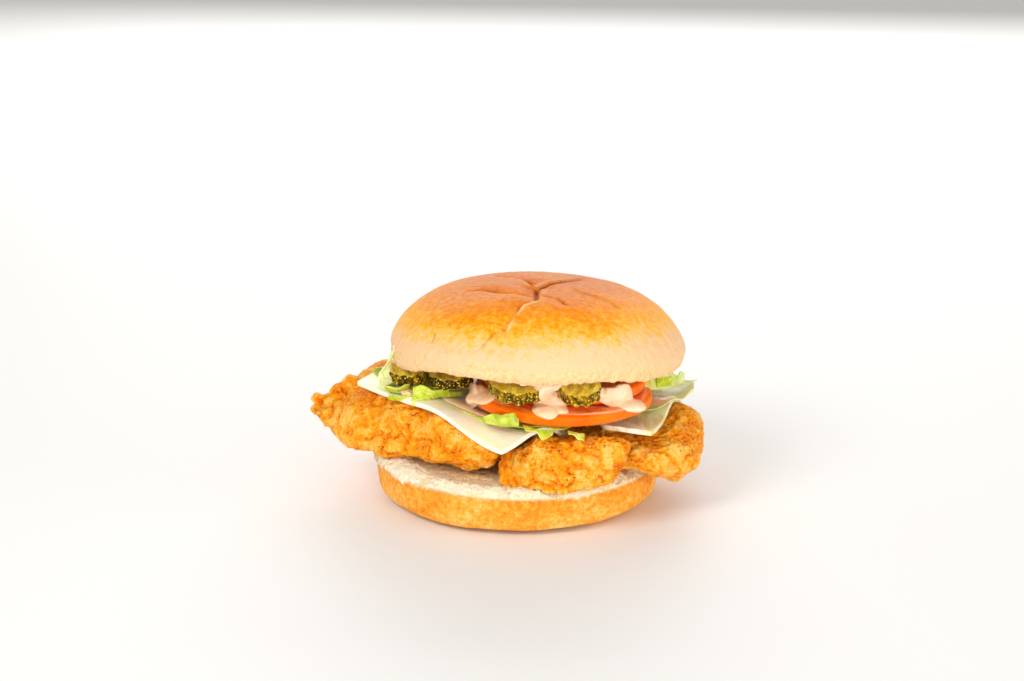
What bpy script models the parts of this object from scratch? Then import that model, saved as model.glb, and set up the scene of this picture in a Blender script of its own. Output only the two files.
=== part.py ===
"""Fried chicken burger: a heel bun, three crusted fillets, two slices of cheese, lettuce leaves,
two tomato slices, crinkle-cut pickles and a crown bun.

Lengths are metres. +X runs along the burger's width, -Y is its front, +Z is up, and the origin is
the middle of the heel bun's flat underside. Pieces are stacked from the table upwards, and each one
is shaped by what already lies beneath it.
"""

import math

import bmesh
import bpy
from mathutils import Matrix, Vector, noise
from mathutils.bvhtree import BVHTree

MM = 0.001
GAP = 0.4 * MM  # clear air that each piece keeps to its neighbours
SKY = 0.2  # a height above everything, from which the stack is probed

HEEL_RADIUS = 51 * MM
HEEL_HEIGHT = 16 * MM

CROWN_CENTRE = Vector((7.1, 1.0, 56.2)) * MM  # middle of the crown bun's widest level
CROWN_RADIUS = 53.3 * MM
CROWN_RISE = 23.2 * MM  # from the widest level up to the top
CROWN_DEPTH = 7.6 * MM  # from the widest level down to the cut face
CROWN_PITCH = math.radians(6.5)  # the fillings prop the crown bun up at the front
CROWN_ROLL = math.radians(1.2)  # and it leans a little to the right
CROWN_LIP = 2.6 * MM  # how far the front rim is pushed up further

CHEESE_THICK = 1.8 * MM
LEAF_THICK = 0.9 * MM
TOMATO_THICK = 4.7 * MM
PICKLE_RIDGE = 0.45 * MM  # half the height of a crinkle
PICKLE_PITCH = 4.4 * MM


def start_scene():
    """An empty scene with one collection for the burger."""
    for obj in list(bpy.data.objects):
        bpy.data.objects.remove(obj)
    collection = bpy.data.collections.new("chicken_burger")
    bpy.context.scene.collection.children.link(collection)
    return collection


BURGER = start_scene()


def finish_of(name, colour, roughness):
    """A plain food material: colour and roughness, no metal."""
    material = bpy.data.materials.new(name)
    material.use_nodes = True
    shader = material.node_tree.nodes["Principled BSDF"]
    shader.inputs["Base Color"].default_value = (*colour, 1)
    shader.inputs["Roughness"].default_value = roughness
    shader.inputs["Metallic"].default_value = 0
    return material


FINISHES = {
    "heel_crust": finish_of("heel_crust", (0.72, 0.38, 0.12), 0.6),
    "crown_crust": finish_of("crown_crust", (0.75, 0.40, 0.12), 0.45),
    "fried_crust": finish_of("fried_crust", (0.66, 0.27, 0.05), 0.5),
    "cheese": finish_of("cheese", (0.90, 0.84, 0.62), 0.35),
    "lettuce": finish_of("lettuce", (0.40, 0.58, 0.12), 0.4),
    "tomato": finish_of("tomato", (0.75, 0.14, 0.05), 0.25),
    "pickle": finish_of("pickle", (0.22, 0.21, 0.03), 0.25),
}


def add_piece(name, shape, finish, sharp_above=50):
    """A named object made from the bmesh, shaded smooth except where it turns sharply."""
    mesh = bpy.data.meshes.new(name)
    shape.to_mesh(mesh)
    shape.free()
    mesh.shade_smooth()
    mesh.set_sharp_from_angle(angle=math.radians(sharp_above))
    mesh.materials.append(FINISHES[finish])
    obj = bpy.data.objects.new(name, mesh)
    BURGER.objects.link(obj)
    return obj


def ease(share):
    """0 to 1 with a soft start and end, for a share that may run past either."""
    share = min(1.0, max(0.0, share))
    return share * share * (3 - 2 * share)


def direction(turn, length=1.0):
    return Vector((length * math.cos(turn), length * math.sin(turn)))


def bump(offset, width):
    """1 at no offset, fading to nothing a few widths away."""
    return math.exp(-((offset / width) ** 2))


def angle_between(turn, other):
    return (turn - other + math.pi) % (2 * math.pi) - math.pi


def lumps(point, size, seed):
    """Smooth unevenness from -1 to 1 with bumps of about that size."""
    return noise.noise(point / size + Vector((seed, seed * 1.7, seed * 0.3)))


class Stack:
    """Pieces already in place, probed for what a new piece has to lie on or keep clear of."""

    def __init__(self):
        self.trees = []

    def add(self, obj):
        """Counts a finished object in, where it stands now."""
        bpy.context.view_layer.update()
        evaluated = obj.evaluated_get(bpy.context.evaluated_depsgraph_get())
        mesh = evaluated.to_mesh()
        points = [evaluated.matrix_world @ vert.co for vert in mesh.vertices]
        faces = [tuple(face.vertices) for face in mesh.polygons]
        evaluated.to_mesh_clear()
        self.trees.append(BVHTree.FromPolygons(points, faces))
        return obj

    def height(self, x, y, reach=0.0):
        """The highest surface within reach of the point, or 0 for the table."""
        spots = [Vector((x, y))]
        if reach:
            spots += [spots[0] + direction(k * math.pi / 4, reach) for k in range(8)]
        tops = [0.0]
        for spot in spots:
            for tree in self.trees:
                hit = tree.ray_cast(Vector((*spot, SKY)), Vector((0, 0, -1)))[0]
                if hit:
                    tops.append(hit.z)
        return max(tops)

    def pull_clear(self, point, towards, room):
        """Moves the point towards a middle until it has room on every side."""
        step = 0.4 * MM
        for _ in range(60):
            crowded = False
            for tree in self.trees:
                near, normal, _, distance = tree.find_nearest(point)
                if distance < room or (point - near).dot(normal) < 0:
                    crowded = True
            if not crowded:
                break
            point = point + (towards - point).normalized() * step
        return point


STACK = Stack()
HEEL = Stack()
FILLETS = Stack()


def raise_clear(shape, stack, below=SKY):
    """Lifts the faces and edges that would still touch the stack between their corners, up to a height."""
    for part in list(shape.edges) + list(shape.faces):
        middle = sum((vert.co for vert in part.verts), Vector()) / len(part.verts)
        if middle.z < below:
            spots = [middle] + [(middle + vert.co) / 2 for vert in part.verts]
            sunk = max(stack.height(spot.x, spot.y, 2.5 * MM) + GAP - spot.z for spot in spots)
            if sunk > 0:
                bmesh.ops.translate(shape, verts=part.verts, vec=(0, 0, sunk))


def mould(name, segments, rings, place, finish, rests_on=None, below=SKY):
    """A closed body: a sphere whose points go where place(turn, rise) says.

    turn is the angle round +Z, and rise goes from -90 degrees underneath to +90 degrees on top. What
    lies lower than below is kept clear of the stack that the body rests on."""
    shape = bmesh.new()
    bmesh.ops.create_uvsphere(shape, u_segments=segments, v_segments=rings, radius=1)
    for vert in shape.verts:
        turn = math.atan2(vert.co.y, vert.co.x)
        rise = math.asin(max(-1.0, min(1.0, vert.co.z)))
        vert.co = place(turn, rise)
    if rests_on:
        raise_clear(shape, rests_on, below)
    return add_piece(name, shape, finish)


def profile_at(knots, rise):
    """Reads (radius, height) pairs spread evenly from underneath (-90 degrees) to the top (+90)."""
    along = (rise / math.pi + 0.5) * (len(knots) - 1)
    first = min(len(knots) - 2, int(along + 1e-6))
    share = along - first
    return tuple(a + (b - a) * share for a, b in zip(knots[first], knots[first + 1]))


def heel_bun():
    """The bottom half of the bun: a shallow drum with a soft foot, a straight crust and a cut face."""
    knots = (
        (0.0, 0.0), (0.45, 0.0), (0.89, 0.0), (0.965, 0.10), (0.995, 0.28), (1.0, 0.52),
        (1.0, 0.82), (0.96, 0.99), (0.72, 1.0), (0.36, 0.97), (0.0, 0.96),
    )

    def place(turn, rise):
        share, level = profile_at(knots, rise)
        uneven = 1 + 0.012 * math.sin(2 * turn + 0.6) + 0.008 * math.sin(3 * turn + 2.0)
        flat = direction(turn, HEEL_RADIUS * share * uneven)
        front_right = bump(angle_between(turn, math.radians(-55)), 0.8) * share
        left = max(0.0, -math.cos(turn)) * share * level
        flat += direction(math.radians(-55), 1.6 * MM * front_right)
        return Vector((flat.x - 1.5 * MM * left, flat.y, HEEL_HEIGHT * level + 1.6 * MM * left))

    return mould("heel_bun", 40, len(knots) - 1, place, "heel_crust")


def outline_reader(centre, points):
    """A function from turn to radius for a smooth closed outline through the points."""
    polar = []
    for x, y in points:
        offset = Vector((x, y)) * MM - centre
        polar.append((math.atan2(offset.y, offset.x), offset.length))
    polar.sort()
    count = len(polar)

    def radius(turn):
        for k in range(count):
            span = (polar[(k + 1) % count][0] - polar[k][0]) % (2 * math.pi)
            ahead = (turn - polar[k][0]) % (2 * math.pi)
            if ahead <= span:
                before, here, after, beyond = (polar[(k + j) % count][1] for j in (-1, 0, 1, 2))
                t = ahead / span
                bend = 2 * before - 5 * here + 4 * after - beyond
                twist = 3 * here - before - 3 * after + beyond
                return 0.5 * (2 * here + (after - before) * t + bend * t * t + twist * t ** 3)
        return polar[0][1]

    return radius


def fillet(name, centre, points, heights, segments, rings, seed, lean=(0, 0), creases=(), fold=None):
    """A fried fillet: a lumpy cushion inside a plan outline.

    heights(x, y) gives, in millimetres, the level of the upper crust, of the outermost edge and of
    the underside. The top is shifted by lean against the underside. creases are (turn, depth, width)
    of the notches that run up its side, and fold is the same for one groove along its side, with the
    rise where it runs. The fillet never sinks into the heel bun or into the fillets before it."""
    centre = Vector(centre) * MM
    radius = outline_reader(centre, points)
    middle = Vector((*centre, 27 * MM))

    def place(turn, rise):
        share = max(0.0, math.cos(rise)) ** 0.4
        reach = radius(turn) * share
        for notch, depth, width in creases:
            reach -= depth * MM * bump(angle_between(turn, math.radians(notch)), width) * share ** 3
        if fold:
            notch, depth, width, level = fold
            along = bump(angle_between(turn, math.radians(notch)), width)
            reach -= depth * MM * along * bump(rise - math.radians(level), 0.22)
        flat = centre + direction(turn, reach) + Vector(lean) * MM * math.sin(rise)
        top, edge, bottom = heights(flat.x / MM, flat.y / MM)
        if rise > 0:
            level = edge + (top - edge) * math.sin(rise) ** 0.7
        else:
            level = edge + (edge - bottom) * math.sin(rise)
        point = Vector((*flat, level * MM))
        outward = Vector((math.cos(turn) * share, math.sin(turn) * share, math.sin(rise))).normalized()
        swell = 2.4 * lumps(point, 15 * MM, seed) + 1.4 * lumps(point, 7 * MM, seed + 5)
        point += outward * swell * MM * (1 - 0.6 * ease(math.sin(rise)))
        if point.z < middle.z:
            point.z = max(point.z, HEEL.height(point.x, point.y, 5 * MM) + GAP)
        return FILLETS.pull_clear(point, middle, 1.2 * MM)

    obj = mould(name, segments, rings, place, "fried_crust", HEEL, 20 * MM)
    STACK.add(obj)
    FILLETS.add(obj)


def left_fillet():
    """The largest fillet. Its left end sticks out past the bun and is propped up."""
    points = (
        (-76, 3), (-69, -6), (-62, -14), (-52, -22), (-38, -29), (-24, -37), (-11, -39), (-2, -29),
        (6, -12), (9, 8), (7, 26), (-2, 41), (-20, 47), (-38, 45), (-53, 35), (-64, 20),
    )

    def heights(x, y):
        left = ease((-x - 14) / 24)
        tip = ease((-x - 56) / 18)
        shoulder = bump(math.hypot(x + 54, y - 22), 15)
        brow = bump(y + 36, 10) * ease((-x - 5) / 8) * (1 - left)
        top = 30.2 + 9.3 * left - 4.5 * ease((y - 22) / 28) * (1 - left)
        top += 4.0 * shoulder + 8.5 * brow - 8.5 * tip
        edge = 25 + 4 * ease((-x - 60) / 14) + 2 * ease((y - 22) / 28)
        bottom = 16.4 + 1.2 * ease((-x - 46) / 16) + 7 * ease((-x - 65) / 10)
        return top, edge, bottom

    creases = ((200, 3.5, 0.05), (228, 1.8, 0.06), (256, 1.5, 0.05), (150, 2.5, 0.07), (100, 2, 0.08))
    fillet("fillet_left", (-33, 4), points, heights, 44, 16, 3.1, (2, 1), creases)


def right_fillet():
    """The right fillet: a folded lobe that hangs over the heel bun's edge."""
    points = (
        (12, 6), (14, -10), (20, -21), (30, -28), (37, -37), (44, -39), (56, -34), (65, -24),
        (68, -8), (67, 8), (62, 24), (48, 37), (32, 43), (18, 38), (13, 22),
    )

    def heights(x, y):
        right = ease((x - 46) / 14)
        front = ease((-y - 12) / 22)
        top = 29.8 + 5.5 * right * bump(y + 9, 16) - 1.0 * front
        edge = 22 - 2 * right
        bottom = 16.4 - 5.5 * ease((x - 40) / 15)
        return top, edge, bottom

    creases = ((-72, 2.2, 0.07), (-38, 2.0, 0.08), (0, 1.5, 0.08), (52, 2.5, 0.08))
    fold = (-45, 3.2, 0.55, -38)
    fillet("fillet_right", (40, 2), points, heights, 38, 16, 8.4, (-2, 3), creases, fold)


def front_fillet():
    """The small fillet that lies in front of the other two."""
    points = (
        (-8, -41), (-2, -44), (8, -49), (18, -51.5), (30, -49), (39, -44), (36, -37), (28, -33),
        (14, -31), (1, -34),
    )

    def heights(x, y):
        top = 34.5 - 10.5 * ease((7 - x) / 13) + 1.2 * ease((x - 22) / 12) - 2.5 * ease((y + 43) / 7)
        edge = 24 + 7 * ease((x - 26) / 13) - 2 * ease((2 - x) / 8)
        return top, edge, 16.4

    fillet("fillet_front", (16, -42), points, heights, 28, 12, 5.7, (0, 2))


def sheet(name, columns, rows, spread, thickness, finish, sag, passes=60):
    """A soft slice laid on the stack: a grid whose points are spread over the plan, let down onto what
    lies beneath, evened out, and given its thickness upwards.

    spread(u, v) gives the plan place of a point and how far it is lifted, for u and v from -1 to 1."""
    shape = bmesh.new()
    bmesh.ops.create_grid(shape, x_segments=columns, y_segments=rows, size=1)
    floor, lift = {}, {}
    for vert in shape.verts:
        flat, lift[vert] = spread(vert.co.x, vert.co.y)
        floor[vert] = STACK.height(flat.x, flat.y, 4 * MM) + GAP
        vert.co = Vector((*flat, floor[vert]))
    for _ in range(passes):
        levels = {}
        for vert in shape.verts:
            around = [edge.other_vert(vert).co.z for edge in vert.link_edges]
            levels[vert] = max(floor[vert], sum(around) / len(around) - sag)
        for vert, level in levels.items():
            vert.co.z = level
    for vert in shape.verts:
        vert.co.z += lift[vert]
    raise_clear(shape, STACK)
    obj = add_piece(name, shape, finish)
    thicken = obj.modifiers.new("thickness", "SOLIDIFY")
    thicken.thickness = thickness
    thicken.offset = 1
    return STACK.add(obj)


def cheese_slice(name, centre, side, turn, cells, droop):
    """A square slice that droops where nothing holds it, by about droop millimetres a cell."""
    across = direction(math.radians(turn), side / 2 * MM)
    along = direction(math.radians(turn + 90), side / 2 * MM)

    def spread(u, v):
        rounded = 1 - 0.035 * (abs(u) * abs(v)) ** 4
        return Vector(centre) * MM + (across * u + along * v) * rounded, 0.0

    sheet(name, cells, cells, spread, CHEESE_THICK, "cheese", droop * MM)


def leaf(name, centre, size, turn, cells, waves, raised=None):
    """A lettuce leaf: a rounded sheet with a wavy outline.

    raised is (turn, width, height) of the side where its rim stands up."""
    across = direction(math.radians(turn), size[0] / 2 * MM)
    along = direction(math.radians(turn + 90), size[1] / 2 * MM)

    def spread(u, v):
        rim = max(abs(u), abs(v))
        square = math.hypot(u, v) or 1.0
        u = 0.35 * u + 0.65 * u * rim / square
        v = 0.35 * v + 0.65 * v * rim / square
        side = math.atan2(v, u) + math.radians(turn)
        wobble = 1 + rim * (0.05 * math.sin(waves * side) + 0.04 * math.sin(5 * side + 1))
        lift = 0.0
        if raised:
            place, width, height = raised
            share = bump(angle_between(side, math.radians(place)), width)
            wave = 0.75 + 0.25 * math.sin(2 * waves * side)
            wobble += 0.1 * share * rim
            lift = height * MM * share * wave * ease((rim - 0.8) / 0.2)
        return Vector(centre) * MM + (across * u + along * v) * wobble, lift

    sheet(name, cells, cells, spread, LEAF_THICK, "lettuce", 0.2 * MM)


def settle(obj, centre, radius, tip):
    """Lays a rigid disc, tipped by the (forward, sideways) slopes, as low as the stack allows."""
    centre = Vector(centre) * MM
    tilt = Matrix.Rotation(math.atan(tip[0]), 4, "X") @ Matrix.Rotation(-math.atan(tip[1]), 4, "Y")
    level = 0.0
    for step in range(10):
        for k in range(32 if step else 1):
            offset = direction(k * math.pi / 16, radius * MM * step / 9)
            spot = centre + offset
            support = STACK.height(spot.x, spot.y, 1.2 * MM)
            level = max(level, support + GAP - tip[0] * offset.y - tip[1] * offset.x)
    obj.matrix_world = Matrix.Translation(Vector((*centre, level))) @ tilt
    return STACK.add(obj)


def tomato_slice(name, centre, radius, tip, seed):
    """A round slice with softened edges; its underside is at the object's own zero height."""
    half = TOMATO_THICK / 2
    knots = (
        (0.0, -1.0), (0.55, -1.0), (0.95, -1.0), (1.0, -0.6), (1.0, 0.6), (0.95, 1.0), (0.55, 1.0), (0.0, 1.0),
    )

    def place(turn, rise):
        share, level = profile_at(knots, rise)
        uneven = 1 + 0.015 * math.sin(3 * turn + seed) + 0.012 * math.sin(5 * turn + 2 * seed)
        return Vector((*direction(turn, radius * MM * share * uneven), half + half * level))

    obj = mould(name, 32, len(knots) - 1, place, "tomato")
    settle(obj, centre, radius, tip)


def pickle_chip(name, centre, radius, thickness, turn, tip):
    """A crinkle-cut chip: both faces ride the same waves, which run the way turn says."""
    waves = round(radius * MM / PICKLE_PITCH)
    shape = bmesh.new()
    bmesh.ops.create_grid(shape, x_segments=8 * waves, y_segments=3, size=1)
    for vert in shape.verts:
        across = radius * MM * vert.co.x
        half = radius * MM * math.sqrt(max(1 - vert.co.x ** 2, 0.1))
        crinkle = PICKLE_RIDGE * (1 - math.cos(2 * math.pi * waves * vert.co.x))
        vert.co = Vector((across, vert.co.y * half, crinkle))
    bmesh.ops.rotate(shape, verts=shape.verts, matrix=Matrix.Rotation(math.radians(turn), 3, "Z"))
    grown = bmesh.ops.extrude_face_region(shape, geom=list(shape.faces))
    upper = [item for item in grown["geom"] if isinstance(item, bmesh.types.BMVert)]
    bmesh.ops.translate(shape, verts=upper, vec=(0, 0, thickness * MM))
    bmesh.ops.recalc_face_normals(shape, faces=shape.faces)
    settle(add_piece(name, shape, "pickle"), centre, radius, tip)


def crown_bun():
    """The top of the bun: a dome with a few soft creases that meet near its top.

    It is tilted as a whole, its cut face follows the fillings, and its front rim is pushed up."""
    tilt = Matrix.Rotation(-CROWN_PITCH, 3, "X") @ Matrix.Rotation(CROWN_ROLL, 3, "Y")
    star = Vector((0, -20)) * MM
    creases = (178, 118, 62, 12, -28, -118)

    def place(turn, rise):
        if rise >= 0:
            share = math.cos(rise) ** 0.7
            level = CROWN_RISE * math.sin(rise) ** 1.28
        else:
            under = -rise / (math.pi / 2)
            share = 1 - 0.05 * ease(under / 0.35) if under < 0.35 else 0.95 * (1 - under) / 0.65
            level = -CROWN_DEPTH * ease(under / 0.45)
        flat = direction(turn, CROWN_RADIUS * share * (1 + 0.008 * math.sin(3 * turn + 1)))
        if rise > 0.2:
            offset = flat - star
            side = math.atan2(offset.y, offset.x)
            for crease in creases:
                across = offset.length * abs(math.sin(angle_between(side, math.radians(crease))))
                if abs(angle_between(side, math.radians(crease))) < 1.2:
                    level -= 1.5 * MM * bump(across, 3 * MM) * bump(offset.length, 26 * MM)
        point = tilt @ Vector((*flat, level)) + CROWN_CENTRE
        if rise < 0:
            point.z += CROWN_LIP * bump(angle_between(turn, math.radians(-90)), 0.9) * -math.sin(rise)
            point.z = max(point.z, STACK.height(point.x, point.y, 6 * MM) + GAP)
        return point

    mould("crown_bun", 40, 20, place, "crown_crust", STACK, 62 * MM)


def main():
    heel = heel_bun()
    STACK.add(heel)
    HEEL.add(heel)
    left_fillet()
    right_fillet()
    front_fillet()
    cheese_slice("cheese_left", (-7, -1), 75, 46.6, 10, 0.26)
    cheese_slice("cheese_right", (24, 1), 66, -15, 9, 0.18)
    leaf("lettuce_left", (-34.5, -6), (31, 30), -43, 9, 7, (180, 0.5, 5))
    leaf("lettuce_front", (7, -22), (34, 42), 24, 11, 9)
    leaf("lettuce_right", (44, 5), (40, 50), 0, 10, 8, (-25, 0.9, 8))
    tomato_slice("tomato_front", (15.3, -18), 32, (0.0, -0.03), 1.3)
    tomato_slice("tomato_back", (16.5, -13), 29.5, (0.0, -0.03), 2.9)
    pickle_chip("pickle_1", (-39.3, -9.5), 7.8, 4.0, 10, (0.06, 0.0))
    pickle_chip("pickle_2", (-23.6, -16.5), 7.8, 4.0, 15, (0.10, 0.03))
    pickle_chip("pickle_3", (0.6, -38), 11.0, 4.6, 0, (0.26, 0.0))
    pickle_chip("pickle_4", (21.2, -37.5), 7.3, 4.6, -10, (0.38, 0.0))
    crown_bun()


main()
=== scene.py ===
"""The visible finish of a fried chicken burger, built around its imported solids.

Lengths in metres, unless a value is multiplied by MM. +X is the burger's right, -Y its open front
and +Z is up. Each part below makes one kind of food: buns, fried chicken, cheese, lettuce, tomato,
pickle, sauce and pepper.
"""

import math
import random

import bpy
import numpy as np
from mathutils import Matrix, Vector, noise
from mathutils.bvhtree import BVHTree


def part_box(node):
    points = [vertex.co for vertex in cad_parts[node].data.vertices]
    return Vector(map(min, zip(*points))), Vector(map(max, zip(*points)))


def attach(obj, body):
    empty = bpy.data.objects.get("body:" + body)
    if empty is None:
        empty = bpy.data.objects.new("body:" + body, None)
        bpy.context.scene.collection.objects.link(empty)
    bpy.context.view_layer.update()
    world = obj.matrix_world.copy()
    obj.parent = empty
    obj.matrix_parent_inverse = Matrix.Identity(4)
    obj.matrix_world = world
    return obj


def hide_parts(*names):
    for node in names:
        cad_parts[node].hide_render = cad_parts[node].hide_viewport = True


MM = 0.001
CRUST_CELL = 0.42 * MM  # edge of the finest faces on the fried coating
CRUMB_CELL = 0.7 * MM
CROWN_CELL = 0.62 * MM
SAUCE_CELL = 0.35 * MM

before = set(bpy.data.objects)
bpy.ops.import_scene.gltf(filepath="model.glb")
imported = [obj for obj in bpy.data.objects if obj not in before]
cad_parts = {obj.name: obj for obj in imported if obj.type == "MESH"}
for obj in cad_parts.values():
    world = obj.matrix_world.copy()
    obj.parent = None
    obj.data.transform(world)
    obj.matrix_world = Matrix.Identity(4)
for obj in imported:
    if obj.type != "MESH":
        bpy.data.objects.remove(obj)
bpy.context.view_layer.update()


# ---------------------------------------------------------------- camera, light and floor


def place_camera():
    data = bpy.data.cameras.new("camera")
    data.lens = 78.94
    data.sensor_width = 36.0
    data.clip_start = 0.05
    camera = bpy.data.objects.new("camera", data)
    camera.location = (-0.002, -0.7767, 0.2912)
    camera.rotation_euler = (math.radians(90 - 16.83), 0, 0)
    bpy.context.scene.collection.objects.link(camera)
    bpy.context.scene.camera = camera


def soft_light(name, place, target, wide, tall, watts):
    """An area light that faces the target."""
    data = bpy.data.lights.new(name, "AREA")
    data.shape = "RECTANGLE"
    data.size = wide
    data.size_y = tall
    data.energy = watts
    light = bpy.data.objects.new(name, data)
    light.location = place
    light.rotation_euler = (Vector(target) - Vector(place)).to_track_quat("-Z", "Y").to_euler()
    bpy.context.scene.collection.objects.link(light)


def light_the_set():
    world = bpy.data.worlds.new("studio")
    world.use_nodes = True
    world.node_tree.nodes["Background"].inputs["Color"].default_value = (1.0, 0.985, 0.965, 1)
    world.node_tree.nodes["Background"].inputs["Strength"].default_value = 0.54
    bpy.context.scene.world = world
    soft_light("key", (-0.6, -0.6, 0.75), (0, 0, 0.04), 0.45, 0.45, 5.2)
    soft_light("fill", (0.38, -0.92, 0.11), (0, 0, 0.04), 0.7, 0.18, 4.3)
    soft_light("low", (-0.45, -0.88, 0.1), (0, 0, 0.04), 0.4, 0.16, 1.1)
    soft_light("side", (0.95, -0.25, 0.2), (0, 0, 0.04), 0.4, 0.3, 1.7)
    soft_light("back", (0.1, 1.0, 0.48), (0, 0, 0.05), 1.1, 0.6, 6.5)
    bpy.context.scene.view_settings.view_transform = "Standard"


def lay_floor():
    bpy.ops.mesh.primitive_plane_add(size=6, location=(0, 0, 0))
    floor = bpy.context.object
    floor.name = "floor"
    paint = Finish("pale_floor", Roughness=0.6)
    paint.shader.inputs["Base Color"].default_value = (0.87, 0.86, 0.84, 1)
    floor.data.materials.append(paint.material)


# ---------------------------------------------------------------- finishes


def tint(red, green, blue):
    """A colour given in display levels from 0 to 255, as the linear colour that shaders use."""
    levels = [level / 255 for level in (red, green, blue)]
    linear = [v / 12.92 if v <= 0.04045 else ((v + 0.055) / 1.055) ** 2.4 for v in levels]
    return (*linear, 1.0)


class Amount:
    """A socket's value that varies over a finish. Arithmetic on it adds Math nodes."""

    def __init__(self, finish, socket):
        self.finish = finish
        self.socket = socket

    def maths(self, operation, first, second):
        return self.finish.node("ShaderNodeMath", {"operation": operation}, {0: first, 1: second})

    def __add__(self, other):
        return self.maths("ADD", self, other)

    def __radd__(self, other):
        return self.maths("ADD", other, self)

    def __sub__(self, other):
        return self.maths("SUBTRACT", self, other)

    def __rsub__(self, other):
        return self.maths("SUBTRACT", other, self)

    def __mul__(self, other):
        return self.maths("MULTIPLY", self, other)

    def __rmul__(self, other):
        return self.maths("MULTIPLY", other, self)

    def __truediv__(self, other):
        return self.maths("DIVIDE", self, other)

    def __rtruediv__(self, other):
        return self.maths("DIVIDE", other, self)

    def __pow__(self, other):
        return self.maths("POWER", self, other)

    def least(self, other):
        return self.maths("MINIMUM", self, other)

    def most(self, other):
        return self.maths("MAXIMUM", self, other)

    def band(self, low, high):
        """0 below low and 1 above high, with a soft step between; low may be the larger one."""
        sockets = {"Value": self, "From Min": low, "From Max": high}
        return self.finish.node("ShaderNodeMapRange", {"interpolation_type": "SMOOTHSTEP"}, sockets)


class Finish:
    """A food's material: one Principled shader whose varying sockets are fed by nodes."""

    def __init__(self, name, **constants):
        self.material = bpy.data.materials.new(name)
        self.material.use_nodes = True
        self.tree = self.material.node_tree
        self.shader = self.tree.nodes["Principled BSDF"]
        for socket, value in constants.items():
            self.shader.inputs[socket.replace("_", " ")].default_value = value
        self.place = None

    def node(self, kind, settings=None, sockets=None, out=0):
        """Adds a node, sets it up, feeds its sockets and returns one of its outputs."""
        node = self.tree.nodes.new(kind)
        for key, value in (settings or {}).items():
            if key == "stops":
                while len(node.color_ramp.elements) < len(value):
                    node.color_ramp.elements.new(0.5)
                for element, (position, colour) in zip(node.color_ramp.elements, value):
                    element.position = position
                    element.color = colour
            else:
                setattr(node, key, value)
        for key, value in (sockets or {}).items():
            self.feed(node.inputs[key], value)
        return Amount(self, node.outputs[out])

    def feed(self, socket, value):
        if isinstance(value, Amount):
            self.tree.links.new(value.socket, socket)
        else:
            socket.default_value = value

    def wear(self, **sockets):
        for socket, value in sockets.items():
            self.feed(self.shader.inputs[socket.replace("_", " ")], value)

    def where(self, stretch=None):
        """Places on the piece; stretch makes a pattern longer along an axis by that factor."""
        if self.place is None:
            self.place = self.node("ShaderNodeTexCoord", out=3)
        if stretch is None:
            return self.place
        scale = tuple(1 / factor for factor in stretch)
        return self.node("ShaderNodeMapping", None, {"Vector": self.place, "Scale": scale})

    def axis(self, direction):
        """The distance along a direction from the origin."""
        settings = {"operation": "DOT_PRODUCT"}
        return self.node("ShaderNodeVectorMath", settings, {0: self.where(), 1: direction}, out=1)

    def clouds(self, size, detail=2.0, rough=0.5, stretch=None, warp=0.0):
        """Soft patches of about that size, from 0 to 1 with a mean of a half."""
        sockets = {"Vector": self.where(stretch), "Scale": 1 / size, "Detail": detail}
        sockets.update({"Roughness": rough, "Distortion": warp})
        return self.node("ShaderNodeTexNoise", None, sockets)

    def cells(self, size, stretch=None, feature="F1"):
        """The distance from the nearest of many scattered points, in cell sizes."""
        sockets = {"Vector": self.where(stretch), "Scale": 1 / size}
        return self.node("ShaderNodeTexVoronoi", {"feature": feature}, sockets)

    def painted(self, name):
        """A value from 0 to 1 that the modelling left on the mesh."""
        return self.node("ShaderNodeAttribute", {"attribute_name": name}, out=2)

    def mix(self, share, low, high):
        sockets = {0: share, 6: low, 7: high}
        return self.node("ShaderNodeMix", {"data_type": "RGBA"}, sockets, out=2)

    def ramp(self, share, *stops):
        return self.node("ShaderNodeValToRGB", {"stops": stops}, {0: share})

    def bump(self, height, depth, below=None):
        """A normal for relief that is depth high where height goes from 0 to 1."""
        sockets = {"Height": height, "Distance": depth, "Strength": 1.0}
        if below is not None:
            sockets["Normal"] = below
        return self.node("ShaderNodeBump", None, sockets)


SHEEN = (1.0, 0.78, 0.5, 1.0)  # tint of the reflections on fried and baked crusts


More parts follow.
